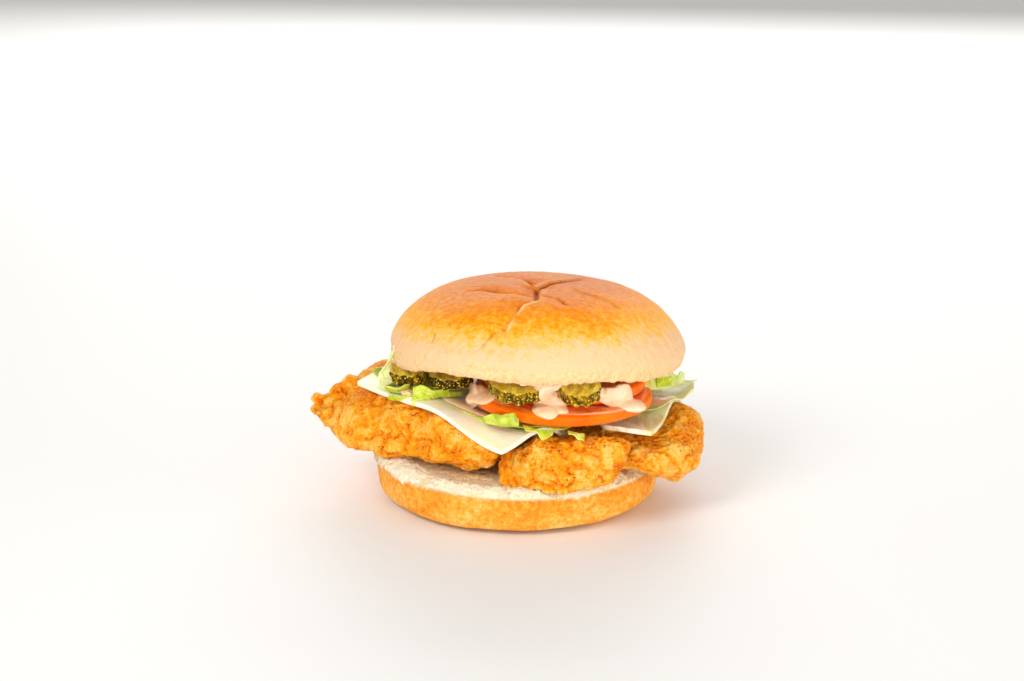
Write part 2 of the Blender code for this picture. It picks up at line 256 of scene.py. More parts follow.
def crown_finish():
    """Egg-washed crust: cream near the cut edge, golden, then brown towards the top."""
    f = Finish("crown_crust", IOR=1.45, Specular_IOR_Level=0.03, Specular_Tint=(1.0, 0.7, 0.3, 1.0))
    f.wear(Sheen_Weight=0.05, Sheen_Roughness=0.25, Sheen_Tint=(1.0, 0.93, 0.8, 1.0))
    f.wear(Coat_Weight=0.04, Coat_Roughness=0.34)
    f.wear(Subsurface_Weight=0.05, Subsurface_Radius=(0.004, 0.002, 0.001))
    level = f.axis((-0.01, 0.12, 0.993))
    wander = (f.clouds(0.03, 3) - 0.5) * 0.012 + (f.clouds(0.0022, 3, 0.7, (1, 1, 2.2)) - 0.5) * 0.02
    baked = (level + wander).band(0.0575, 0.0785)
    colour = f.ramp(
        baked,
        (0.0, tint(240, 196, 148)),
        (0.10, tint(244, 192, 126)),
        (0.24, tint(251, 187, 86)),
        (0.45, tint(251, 166, 24)),
        (0.68, tint(247, 144, 0)),
        (0.9, tint(238, 128, 0)),
        (1.0, tint(222, 110, 2)),
    )
    streak = f.clouds(0.0014, 3, 0.75, (1, 1, 2)).band(0.48, 0.66) * baked.band(0.1, 0.4) * baked.band(0.9, 0.6) * 0.4
    colour = f.mix(streak, colour, tint(253, 200, 110))
    speck = f.cells(0.0015).band(0.26, 0.12) * f.clouds(0.02, 2).band(0.48, 0.62) * 0.4
    colour = f.mix(speck * baked.band(0.2, 0.5), colour, tint(254, 226, 170))
    # painted sheen: a pale beige on the top and shoulders, partly a dust of flour and partly painted reflection of the
    # bright surroundings, kept out of the crease valleys
    dull = f.clouds(0.0011, 3, 0.8, (2, 1, 1)).band(0.3, 0.65) * f.painted("dull")
    colour = f.mix(dull * (1 - f.painted("hollow")) * 0.34, colour, tint(240, 196, 128))
    crumb = f.ramp(f.clouds(0.0014, 3, 0.75), (0.35, tint(226, 176, 108)), (0.6, tint(248, 214, 160)))
    colour = f.mix(f.painted("rough") * 0.7, colour, crumb)
    # painted shade: dark brown down the crease grooves
    deep = f.painted("crease")
    colour = f.mix(deep.band(0.3, 0.85) * 0.9, colour, tint(146, 60, 8))
    colour = f.mix(f.painted("lip") * 0.5, colour, tint(252, 212, 148))
    fine = f.bump(f.clouds(0.0007, 3, 0.6), 0.00022)
    relief = f.bump(f.clouds(0.003, 3, 0.6), 0.001, fine)
    f.wear(Base_Color=colour, Roughness=0.5 - baked * 0.12, Normal=relief)
    return f.material


def heel_finish():
    """The heel's crust, its torn white rim, and the open crumb of its cut face."""
    f = Finish("heel_crust", IOR=1.4, Specular_IOR_Level=0.12, Specular_Tint=SHEEN)
    f.wear(Subsurface_Weight=0.08, Subsurface_Radius=(0.004, 0.002, 0.001))
    tone = f.clouds(0.014, 3, 0.55) * 0.5 + f.clouds(0.002, 3, 0.8) * 0.9 - 0.2
    tone = tone + (f.axis((0.0, 0.0, 1.0)) - 0.008) * 10
    crust = f.ramp(
        tone,
        (0.30, tint(252, 206, 122)),
        (0.43, tint(248, 176, 72)),
        (0.56, tint(242, 152, 44)),
        (0.72, tint(222, 122, 24)),
    )
    pits = f.cells(0.0022).band(0.24, 0.1) * f.clouds(0.012, 2).band(0.45, 0.6) * 0.5
    crust = f.mix(pits, crust, tint(206, 112, 26))
    crumb = f.ramp(
        f.clouds(0.0013, 3, 0.7) * 0.7 + f.clouds(0.009, 2) * 0.3,
        (0.32, tint(222, 186, 126)),
        (0.46, tint(246, 222, 170)),
        (0.62, tint(254, 242, 208)),
    )
    cut = f.painted("crumb")
    colour = f.mix(cut, crust, crumb)
    colour = f.mix(f.painted("torn"), colour, tint(252, 238, 206))
    fine = f.bump(f.clouds(0.0007, 3, 0.65), 0.0004)
    relief = f.bump(f.clouds(0.0018, 3, 0.7) * cut, 0.0012, fine)
    f.wear(Base_Color=colour, Roughness=0.62 + cut * 0.3, Normal=relief)
    return f.material


def chicken_finish():
    """Seasoned flour coating, fried gold, with painted highlights on its lumps and painted shade in its creases."""
    f = Finish("fried_crust", IOR=1.46, Specular_IOR_Level=0.25, Specular_Tint=SHEEN)
    f.wear(Subsurface_Weight=0.05, Subsurface_Radius=(0.003, 0.0015, 0.0006))
    patch = f.clouds(0.014, 3, 0.6)
    # painted light and shade: the ramp goes from dark in the crevices to pale on the peaks, following the relief
    # painted on the mesh
    tone = f.painted("crag") * 0.55 + patch * 0.3 + f.clouds(0.0009, 3, 0.85) * 0.8 - 0.2
    colour = f.ramp(
        tone,
        (0.24, tint(150, 56, 0)),
        (0.40, tint(226, 110, 0)),
        (0.58, tint(247, 146, 4)),
        (0.78, tint(252, 165, 24)),
        (0.97, tint(255, 204, 104)),
    )
    red = f.clouds(0.006, 2).band(0.54, 0.72) * 0.5
    colour = f.mix(red, colour, tint(222, 108, 10))
    grain = f.cells(0.0012).band(0.55, 0.1)
    colour = f.mix(grain * f.clouds(0.008, 2).band(0.38, 0.6) * 0.5, colour, tint(255, 206, 110))
    fine = f.bump(f.clouds(0.0005, 3, 0.7), 0.0003)
    relief = f.bump(f.clouds(0.0011, 3, 0.75) * 0.7 + grain * 0.2, 0.0009, fine)
    f.wear(Base_Color=colour, Roughness=0.44 + patch * 0.2, Normal=relief)
    return f.material


def cheese_finish(name, streaky):
    """Pale processed cheese; a streaky slice has run into the sauce."""
    f = Finish(name, IOR=1.45, Specular_IOR_Level=0.4)
    f.wear(Subsurface_Weight=0.3, Subsurface_Radius=(0.006, 0.004, 0.0025))
    tone = f.clouds(0.02, 2) * 0.7 + f.clouds(0.003, 2) * 0.3
    colour = f.ramp(tone, (0.35, tint(252, 243, 206)), (0.65, tint(255, 251, 230)))
    if streaky:
        run = f.clouds(0.0026, 3, 0.65, (1, 6, 1)).band(0.44, 0.6)
        colour = f.mix(run * 0.85, colour, tint(220, 212, 128))
        smear = f.clouds(0.009, 3, 0.6, (1, 1.8, 1)).band(0.46, 0.6)
        colour = f.mix(smear * 0.5, colour, tint(248, 208, 164))
    relief = f.bump(f.clouds(0.004, 2), 0.0003)
    f.wear(Base_Color=colour, Roughness=0.34 + tone * 0.1, Normal=relief)
    return f.material


def lettuce_finish(name, pale):
    """Leaf green; pale goes from 0, all green, to 1, mostly the white of the rib."""
    f = Finish(name, IOR=1.4, Specular_IOR_Level=0.4)
    f.wear(Subsurface_Weight=0.35, Subsurface_Radius=(0.003, 0.005, 0.001))
    white = (f.clouds(0.011, 2) + (pale - 0.5)).band(0.35, 0.75)
    green = f.ramp(
        f.clouds(0.004, 3),
        (0.3, tint(158, 184, 16)),
        (0.48, tint(192, 208, 50)),
        (0.68, tint(226, 234, 112)),
    )
    colour = f.mix(white, green, tint(228, 230, 176))
    vein = f.cells(0.006, None, "DISTANCE_TO_EDGE").band(0.07, 0.0)
    colour = f.mix(vein * 0.12, colour, tint(232, 243, 176))
    relief = f.bump(vein * 0.3 + f.clouds(0.002, 2) * 0.7, 0.0005)
    f.wear(Base_Color=colour, Roughness=0.34 + white * 0.1, Normal=relief)
    return f.material


def tomato_finish(name):
    """Red skin round the edge, wet flesh with a pale line inside the skin on the cut faces."""
    f = Finish(name, IOR=1.4, Specular_IOR_Level=0.2, Specular_Tint=SHEEN, Coat_Weight=0.06)
    f.wear(Subsurface_Weight=0.15, Subsurface_Radius=(0.004, 0.0012, 0.0006), Coat_Roughness=0.15)
    skin = f.painted("skin")
    flesh = f.ramp(
        f.clouds(0.006, 3, 0.6, warp=0.4) * 0.7 + f.clouds(0.0015, 2) * 0.3,
        (0.35, tint(244, 104, 34)),
        (0.52, tint(250, 138, 68)),
        (0.68, tint(255, 180, 122)),
    )
    rim = f.ramp(f.clouds(0.009, 3), (0.3, tint(252, 96, 0)), (0.7, tint(255, 128, 10)))
    line = skin.band(0.1, 0.35) * skin.band(0.75, 0.5)
    colour = f.mix(skin.band(0.45, 0.7), flesh, rim)
    colour = f.mix(line * 0.7, colour, tint(255, 200, 150))
    relief = f.bump(f.clouds(0.0012, 2), 0.0003)
    f.wear(Base_Color=colour, Roughness=0.34 - skin * 0.08, Normal=relief)
    return f.material


def pickle_finish(name, dark):
    """Brined cucumber: bumpy olive skin with gold specks of painted highlight, and paler wet flesh on the cut faces.
    """
    f = Finish(name, IOR=1.42, Specular_IOR_Level=0.2, Specular_Tint=SHEEN, Coat_Weight=0.12)
    f.wear(Coat_Roughness=0.12)
    skin = f.painted("skin")
    # painted shade: a larger value darkens the skin and the flesh, for a chip that lies in shade
    tone = f.clouds(0.0015, 3, 0.65, (1, 1, 2.5)) + (0.5 - dark) * 0.24
    side = f.ramp(
        tone,
        (0.40, tint(44, 32, 0)),
        (0.52, tint(104, 78, 0)),
        (0.60, tint(160, 118, 0)),
        (0.74, tint(228, 182, 20)),
    )
    flesh = f.ramp(f.clouds(0.003, 3), (0.35, tint(216, 176, 30)), (0.65, tint(250, 224, 104)))
    flesh = f.mix(dark * 0.5, flesh, tint(150, 132, 20))
    colour = f.mix(skin, flesh, side)
    # painted highlights: small gold glints scattered over the chip, for light on its wet bumps
    speck = f.cells(0.0011).band(0.32, 0.16) * 0.9
    colour = f.mix(speck, colour, tint(250, 216, 50))
    # painted highlight: a gold band where the crinkled rim meets the cut face, for light caught along that edge
    edge = skin.band(0.2, 0.45) * skin.band(0.8, 0.55)
    colour = f.mix(edge * 0.6, colour, tint(236, 206, 58))
    relief = f.bump(f.clouds(0.0011, 2), 0.0006)
    f.wear(Base_Color=colour, Roughness=0.3, Normal=relief)
    return f.material


def sauce_finish():
    """Creamy, faintly orange burger sauce with a few ground specks."""
    f = Finish("sauce", IOR=1.42, Specular_IOR_Level=0.4, Coat_Weight=0.2)
    f.wear(Subsurface_Weight=0.25, Subsurface_Radius=(0.005, 0.003, 0.002), Coat_Roughness=0.18)
    colour = f.ramp(f.clouds(0.006, 2), (0.35, tint(254, 204, 160)), (0.65, tint(255, 222, 188)))
    colour = f.mix(f.cells(0.0028).band(0.12, 0.05), colour, tint(206, 122, 60))
    f.wear(Base_Color=colour, Roughness=0.3, Normal=f.bump(f.clouds(0.003, 2), 0.0002))
    return f.material


def pepper_finish():
    f = Finish("pepper", Roughness=0.6)
    colour = f.ramp(f.clouds(0.001, 2), (0.4, tint(22, 10, 2)), (0.7, tint(78, 36, 10)))
    f.wear(Base_Color=colour)
    return f.material


# ---------------------------------------------------------------- modelling helpers


def pick(obj):
    """Makes obj the only selected and the active object."""
    bpy.ops.object.select_all(action="DESELECT")
    obj.select_set(True)
    bpy.context.view_layer.objects.active = obj


def finished(obj, kind, **settings):
    """Applies a modifier to the object."""
    pick(obj)
    modifier = obj.modifiers.new(kind.lower(), kind)
    for key, value in settings.items():
        setattr(modifier, key, value)
    bpy.ops.object.modifier_apply(modifier=modifier.name)


def copy_of(node, name, quads=True):
    """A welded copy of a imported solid, as a mesh of its own."""
    obj = bpy.data.objects.new(name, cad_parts[node].data.copy())
    bpy.context.scene.collection.objects.link(obj)
    obj.data.materials.clear()
    pick(obj)
    bpy.ops.mesh.customdata_custom_splitnormals_clear()
    bpy.ops.object.mode_set(mode="EDIT")
    bpy.ops.mesh.select_all(action="SELECT")
    bpy.ops.mesh.remove_doubles(threshold=0.01 * MM)
    if quads:
        bpy.ops.mesh.tris_convert_to_quads(face_threshold=math.radians(60), shape_threshold=math.radians(60))
    bpy.ops.object.mode_set(mode="OBJECT")
    return obj


def rounded(obj, levels):
    finished(obj, "SUBSURF", levels=levels, render_levels=levels)


def remeshed(obj, cell, smooth=4):
    finished(obj, "REMESH", mode="VOXEL", voxel_size=cell, use_smooth_shade=True)
    finished(obj, "SMOOTH", factor=0.5, iterations=smooth)


def points_of(obj):
    points = np.empty(len(obj.data.vertices) * 3)
    obj.data.vertices.foreach_get("co", points)
    return points.reshape(-1, 3)


def normals_of(obj):
    normals = np.empty(len(obj.data.vertices) * 3)
    obj.data.vertex_normals.foreach_get("vector", normals)
    return normals.reshape(-1, 3)


def move_to(obj, points):
    obj.data.vertices.foreach_set("co", np.ascontiguousarray(points, dtype=np.float32).ravel())
    obj.data.update()


def paint(obj, name, values):
    """Leaves one value a point on the mesh, for a finish to read."""
    layer = obj.data.attributes.new(name, "FLOAT", "POINT")
    layer.data.foreach_set("value", np.ascontiguousarray(values, dtype=np.float32))


def relief(points, size, seed, detail=0):
    """Smooth noise at each point, roughly -1 to 1, with bumps of about that size."""
    offset = Vector((seed, 1.7 * seed, 0.3 * seed))
    if detail:
        return np.array([noise.fractal(Vector(p) / size + offset, 0.9, 2.1, detail) for p in points])
    return np.array([noise.noise(Vector(p) / size + offset) for p in points])


def rise(points, x, y, radius, height):
    """How far a soft swelling under (x, y), in millimetres, lifts each point."""
    away = np.hypot(points[:, 0] / MM - x, points[:, 1] / MM - y) / radius
    return height * MM * np.exp(-(away**2))


def inside(points, low, high):
    """The points, drawn in along each axis where they reach past a box."""
    low, high = np.array(low), np.array(high)
    least, most = points.min(axis=0), points.max(axis=0)
    start, end = np.maximum(least, low), np.minimum(most, high)
    return start + (points - least) / (most - least) * (end - start)


def ease(share):
    share = np.clip(share, 0.0, 1.0)
    return share * share * (3 - 2 * share)


def beside(points, route):
    """For each point: how far it is from the route, where along it (0 to 1), and on which side."""
    best = np.full(len(points), 1e9)
    along = np.zeros(len(points))
    side = np.zeros(len(points))
    count = len(route) - 1
    for k in range(count):
        start, run = route[k], route[k + 1] - route[k]
        share = np.clip(((points - start) @ run) / (run @ run), 0, 1)
        away = points - start - share[:, None] * run
        distance = np.linalg.norm(away, axis=1)
        closer = distance < best
        best[closer] = distance[closer]
        along[closer] = ((k + share) / count)[closer]
        side[closer] = np.sign(run[0] * away[:, 1] - run[1] * away[:, 0])[closer]
    return best, along, side


def dress(obj, material, body="root", node=None, sharp=None):
    """Gives a finished piece its material and its body, and hides the solid that it stands for."""
    obj.data.materials.clear()
    obj.data.materials.append(material)
    pick(obj)
    if sharp is None:
        bpy.ops.object.shade_smooth()
    else:
        bpy.ops.object.shade_smooth_by_angle(angle=math.radians(sharp))
    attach(obj, body)
    if node:
        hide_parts(node)
    return obj


def tree_of(*objects):
    """One search tree over several finished pieces."""
    points, faces = [], []
    for obj in objects:
        first = len(points)
        points += [vert.co.copy() for vert in obj.data.vertices]
        faces += [tuple(first + k for k in face.vertices) for face in obj.data.polygons]
    return BVHTree.FromPolygons(points, faces)


def curve(route, shares):
    """Points along a smooth curve that passes through the route's points."""
    route = np.array(route, dtype=float)
    spot = np.clip(shares, 0, 1) * (len(route) - 1)
    index = np.minimum(spot.astype(int), len(route) - 2)
    t = (spot - index)[:, None]
    before = route[np.maximum(index - 1, 0)]
    start, end = route[index], route[index + 1]
    after = route[np.minimum(index + 2, len(route) - 1)]
    bend = (2 * before - 5 * start + 4 * end - after) * t**2 + (3 * start - before - 3 * end + after) * t**3
    return start + 0.5 * ((end - before) * t + bend)


# ---------------------------------------------------------------- buns

# Creases of the crown bun: places seen from above, in millimetres, then depth, half width and how
# far the crust has torn open, from 0 to 1.
CREASES = (
    (((7.2, -8), (7.1, -17), (6.7, -26)), 2.6, 0.9, 0),
    (((6.8, -18), (0.8, -18.6), (-6.2, -16.5), (-11.5, -13.3), (-19, -11)), 1.6, 0.8, 0),
    (((6.5, -7), (3.4, -1.2), (-0.9, 3.6), (-5.3, 7.7), (-8.6, 13.6)), 1.6, 0.9, 0),
    (((7.5, -11), (10.9, -5.4), (15.2, -1.8), (21.1, 5.6), (26.5, 14.8)), 1.7, 0.9, 0),
    (((8.0, -20), (11.3, -20.2), (14.7, -23.4), (16.7, -27.2), (18.8, -29.4)), 1.1, 0.6, 0),
    (((20.3, -11.9), (25.5, -15.2), (30.7, -17.6), (35.8, -20.9), (38.5, -24.4)), 0.8, 0.8, 0),
    (((6.7, -25.9), (3.5, -28), (1.8, -28.8), (0.1, -32.5), (-0.6, -35)), 1.6, 0.6, 0.9),
    (((-2.3, -37.8), (-3, -38.5), (-4.1, -40.8), (-4.7, -42.6)), 1.5, 0.6, 0.9),
    (((-6.8, -41.2), (-9.5, -43.1), (-11.5, -44.6), (-12.9, -45.7)), 0.8, 0.8, 0),
    (((-29, -30.8), (-29.3, -32.7), (-30.4, -33.7)), 0.8, 0.8, 0),
)


# How far the crown's front edge sags, for places from left to right, in millimetres.
CROWN_SAG = ((-46, -40, -34, -26, -11, -6, 23, 40, 54, 60), (2.0, 2.0, 0.2, -1.0, 0.4, 0.6, 1.5, 1.8, 1.6, 1.6))


def crown_bun():
    crown = copy_of("crown_bun", "crown_crust")
    rounded(crown, 2)
    remeshed(crown, CROWN_CELL, 8)
    tree = tree_of(crown)
    points = points_of(crown)
    normals = normals_of(crown)
    level = points[:, 2] / MM
    out = 0.35 * relief(points, 19 * MM, 2.0) + 0.12 * relief(points, 5 * MM, 9.0) - 0.2
    tilted = level + 0.12 * points[:, 1] / MM  # height above the cut face, which leans back
    out += 0.9 * ease((62 - tilted) / 8) + 1.5 * ease((57 - tilted) / 5) * ease((normals[:, 2] + 1.0) / 0.35)
    wrinkled = ease((level - 66) / 8) * ease(0.5 + 1.5 * relief(points, 14 * MM, 5.0))
    out += 0.16 * wrinkled * relief(points * [1, 1, 2], 1.7 * MM, 11.0)
    # Masks for the colour: the painted shade down each groove, the valleys that the painted sheen keeps out of, and
    # the paler torn lips.
    crease = np.zeros(len(points))
    lips = np.zeros(len(points))
    hollow = np.zeros(len(points))
    for route, depth, width, torn in CREASES:
        laid = []
        for x, y in route:
            laid.append(tree.ray_cast(Vector((x * MM, y * MM, 0.2)), Vector((0, 0, -1)))[0])
        away, along, side = beside(points, curve(laid, np.linspace(0, 1, 4 * len(laid))))
        away = away / MM + 0.25 * relief(points, 2.2 * MM, 3.0)
        fade = ease(np.minimum(along * 5, (1 - along) * 2.5) + 0.25)
        groove = np.exp(-((away / width) ** 2)) * fade
        valley = np.exp(-(((away * side + 1.6 * width) / (4 * width)) ** 2)) * fade
        lip = np.exp(-(((away - 2.2 * width) / (1.1 * width)) ** 2)) * fade * (side > 0)
        out -= depth * (0.62 * groove + 0.34 * valley - (0.12 + 0.18 * torn) * lip)
        crease = np.maximum(crease, groove * min(1.0, depth / 1.4) * (1 - 0.6 * torn))
        hollow = np.maximum(hollow, valley * min(1.0, depth / 1.2))
        lips = np.maximum(lips, lip * min(1.0, depth / 1.6) * (0.5 + 1.5 * torn))
    out += 0.14 * relief(points * [1, 1, 0.6], 2.4 * MM, 12.0, 2) * ease((74 - level) / 8)
    rough = ease((0.5 * relief(points, 9 * MM, 4.0) - normals[:, 2] - 0.2) / 0.35) * ease((60 - tilted) / 4)
    out += rough * (0.42 * relief(points, 1.6 * MM, 6.0, 2) + 0.6 * np.abs(relief(points, 4 * MM, 7.0)) - 0.2)
    points = points + normals * (out * MM)[:, None]
    sag = np.interp(points[:, 0] / MM, *CROWN_SAG) * ease((62 - tilted) / 8) * ease(0.5 - points[:, 1] / MM / 20)
    points[:, 2] -= sag * MM
    move_to(crown, inside(points, *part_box("crown_bun")))
    paint(crown, "crease", crease)
    paint(crown, "hollow", hollow)
    # where the crown gets its painted sheen: high up, and on the shoulders that are seen at a grazing angle
    spread = np.abs(points[:, 0] / MM - 7) - 12
    paint(crown, "dull", ease((level + 0.25 * np.maximum(spread, 0) + 0.1 * points[:, 1] / MM - 72.8) / 6))
    paint(crown, "lip", lips)
    paint(crown, "rough", rough)
    return dress(crown, crown_finish(), node="crown_bun")


def heel_bun():
    heel = copy_of("heel_bun", "heel_crust")
    rounded(heel, 3)
    remeshed(heel, CRUMB_CELL, 6)
    points = points_of(heel)
    normals = normals_of(heel)
    reach = np.hypot(points[:, 0], points[:, 1]) / MM
    level = points[:, 2] / MM
    below = 15.8 - 1.5 * np.minimum(points[:, 0] / MM, 0) / 52 - level  # depth below the cut edge
    ragged = relief(points, 9 * MM, 3.0, 2)
    frayed = relief(points, 1.9 * MM, 13.0, 2)
    cut = ease((normals[:, 2] - 0.35) / 0.3) * ease((level - 8) / 2)
    left = ease((-points[:, 0] / MM - 28) / 14)
    torn = ease((1.6 + 1.8 * left + 2.4 * ragged + 1.0 * frayed - below) / 0.5) * ease((reach - 41 + 2.5 * ragged) / 3)
    groove = np.exp(-(((below - 1.9 - 1.6 * ragged) / 0.7) ** 2)) * ease((reach - 46) / 2) * (1 - cut)
    pores = np.maximum(0, relief(points, 2.0 * MM, 5.0, 2)) * cut * (1 - torn)
    fibres = relief(points * [1, 1, 0.4], 1.1 * MM, 8.0, 2) * torn
    lip = np.exp(-(((reach - 47.5) / 2.6) ** 2)) * cut * (1 + 0.8 * ragged)
    flare = np.exp(-(((below - 0.6) / 2.2) ** 2)) * left * (1 - 0.5 * cut)
    skin = relief(points, 12 * MM, 1.0) * 0.4 + relief(points, 2.6 * MM, 12.0) * 0.08
    out = 0.9 * fibres + 0.3 * torn + 0.9 * lip + 3.0 * flare - 1.2 * pores - 0.5 * groove + (1 - cut) * (skin - 0.2) - 0.1
    out *= ease(level / 1.5)
    points = points + normals * (out * MM)[:, None]
    points[:, 2] = np.maximum(points[:, 2], 0)
    move_to(heel, points)
    paint(heel, "crumb", cut)
    paint(heel, "torn", torn)
    return dress(heel, heel_finish(), node="heel_bun")


# ---------------------------------------------------------------- fried chicken

CHEESE_RIDGE = (-30, -31, 12, 3.2)  # x, y, radius and height of the ridge that lifts the cheese, in mm


def fried(node, name, seed, craggy, knobs=()):
    """A fillet with its coating. craggy, about 1, scales its fine crags; knobs are small lumps
    that stick out of it, as (x, y, z, radius) in millimetres."""
    fillet = copy_of(node, name, quads=False)
    low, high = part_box(node)
    for x, y, z, radius in knobs:
        bpy.ops.object.select_all(action="DESELECT")
        place = (x * MM, y * MM, z * MM)
        bpy.ops.mesh.primitive_ico_sphere_add(subdivisions=3, radius=radius * MM, location=place)
        fillet.select_set(True)
        bpy.context.view_layer.objects.active = fillet
        bpy.ops.object.join()
    remeshed(fillet, CRUST_CELL, 16)
    points = points_of(fillet)
    if node == "fillet_left":
        points[:, 2] += rise(points, *CHEESE_RIDGE) * ease((points[:, 2] / MM - 20) / 12)
        move_to(fillet, points)
    normals = normals_of(fillet)
    bend = np.stack([relief(points, 7 * MM, seed + k) for k in (20, 30, 40)], axis=1)
    warped = points + bend * 2.4 * MM
    busy = ease(0.45 + 1.3 * relief(points, 15 * MM, seed + 3))
    swell = relief(points, 9.5 * MM, seed + 17)
    lumps = np.abs(relief(warped, 6.4 * MM, seed))
    crags = np.abs(relief(warped, 2.9 * MM, seed + 7))
    grains = relief(warped, 1.5 * MM, seed + 11)
    grit = relief(points, 0.85 * MM, seed + 14)
    out = 1.0 * swell + (0.8 + 1.2 * busy) * lumps + craggy * (0.2 + 0.8 * busy) * crags
    out += craggy * (0.42 * grains + 0.24 * grit) - 0.8
    # how high each point stands in the relief, 0 in crevices to 1 on peaks, for the coating's painted light and shade
    crag = ease(0.25 + 0.25 * swell + 1.1 * lumps + 0.55 * crags + 0.35 * grains + 0.2 * grit)
    points = points + normals * (out * MM)[:, None]
    if node == "fillet_front":
        points[:, 2] -= 3.2 * MM * ease((9 - points[:, 0] / MM) / 14) * ease((28 - points[:, 2] / MM) / 7)
        low.z -= 2.0 * MM
    move_to(fillet, inside(points, low, high))
    paint(fillet, "crag", crag)
    return dress(fillet, CHICKEN, node=node)


def pepper(pieces, share):
    """Ground pepper on the coating: small dark chips, pressed into it."""
    bpy.ops.object.select_all(action="DESELECT")
    bpy.ops.mesh.primitive_ico_sphere_add(subdivisions=1, radius=1.0)
    chip = bpy.context.object
    shape = points_of(chip)
    faces = [tuple(face.vertices) for face in chip.data.polygons]
    bpy.data.objects.remove(chip)
    rng = random.Random(7)
    spots, sides = [], []
    for piece in pieces:
        points, normals = points_of(piece), normals_of(piece)
        for k in rng.sample(range(len(points)), share):
            size = rng.choice((0.12, 0.14, 0.17, 0.2, 0.28)) * MM
            turn = Vector(normals[k]).to_track_quat("Z", rng.choice("XY")).to_matrix()
            lump = shape * [rng.uniform(0.9, 2.0), rng.uniform(0.6, 1.1), 0.7] * size
            first = len(spots) * len(shape)
            spots.append(lump @ np.array(turn).T + points[k])
            sides += [tuple(first + corner for corner in face) for face in faces]
    mesh = bpy.data.meshes.new("pepper")
    mesh.from_pydata(np.concatenate(spots), [], sides)
    flecks = bpy.data.objects.new("pepper", mesh)
    bpy.context.scene.collection.objects.link(flecks)
    dress(flecks, pepper_finish())


# ---------------------------------------------------------------- slices


def sharp_kept(obj, firmness):
    """Keeps a slice's edges from melting away when it is subdivided."""
    pick(obj)
    bpy.ops.object.mode_set(mode="EDIT")
    bpy.ops.mesh.select_mode(type="EDGE")
    bpy.ops.mesh.select_all(action="DESELECT")
    bpy.ops.mesh.edges_select_sharp(sharpness=math.radians(50))
    bpy.ops.transform.edge_crease(value=firmness)
    bpy.ops.object.mode_set(mode="OBJECT")


def cheese(node, streaky):
    slice_ = copy_of(node, node.replace("cheese", "cheese_slice"))
    sharp_kept(slice_, 0.85)
    rounded(slice_, 3)
    points = points_of(slice_)
    points[:, 2] += 0.3 * MM * relief(points, 13 * MM, 2.0)
    points[:, 2] -= 2.0 * MM * ease((-points[:, 1] / MM - 40) / 14)
    points[:, 2] += rise(points, *CHEESE_RIDGE)
    if not streaky:  # its corner under the tomato droops between the fillets
        points[:, 2] -= 8 * MM * ease((points[:, 0] / MM - 11) / 11) * ease((points[:, 1] / MM + 42) / 8)
    if streaky:
        points[:, 1] += 26 * MM * ease((31 - points[:, 0] / MM) / 8) * ease((-points[:, 1] / MM - 15) / 20)
    move_to(slice_, points)
    name = "cheese_streaked" if streaky else "cheese_plain"
    return dress(slice_, cheese_finish(name, streaky), node=node, sharp=40)


def tomato(node):
    slice_ = copy_of(node, node.replace("tomato", "tomato_slice"))
    sharp_kept(slice_, 0.5)
    rounded(slice_, 3)
    low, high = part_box(node)
    centre = (low + high) / 2
    radius = (high.x - low.x) / 2
    points = points_of(slice_)
    reach = np.hypot(points[:, 0] - centre.x, points[:, 1] - centre.y) / radius
    paint(slice_, "skin", ease((reach - 0.87) / 0.11))
    points[:, 2] += 0.25 * MM * relief(points, 4 * MM, 2.0, 2) * (reach < 0.9)
    move_to(slice_, points)
    return dress(slice_, tomato_finish(node + "_flesh"), node=node, sharp=50)


def pickle(node, dark, slid=(0, 0, 0)):
    """A chip of pickle; slid is how far it has slid off its place, in millimetres."""
    chip = copy_of(node, node.replace("pickle", "pickle_chip"))
    sharp_kept(chip, 0.9)
    rounded(chip, 3)
    points = points_of(chip)
    normals = normals_of(chip)
    side = 1 - ease((np.abs(normals[:, 2]) - 0.55) / 0.3)
    points = points + normals * (0.35 * MM * relief(points, 1.9 * MM, 3.0, 2) + 0.1 * MM)[:, None]
    move_to(chip, points + np.array(slid) * MM)
    paint(chip, "skin", side)
    return dress(chip, pickle_finish(node + "_skin", dark), node=node, sharp=60)


def leaf(node, pale):
    sheet = copy_of(node, node.replace("lettuce", "lettuce_leaf"))
    rounded(sheet, 2)
    points = points_of(sheet)
    points[:, 2] += 0.35 * MM * relief(points, 4 * MM, 2.0)
    move_to(sheet, points)
    return dress(sheet, lettuce_finish(node + "_green", pale), node=node)


# ---------------------------------------------------------------- curled lettuce and sauce


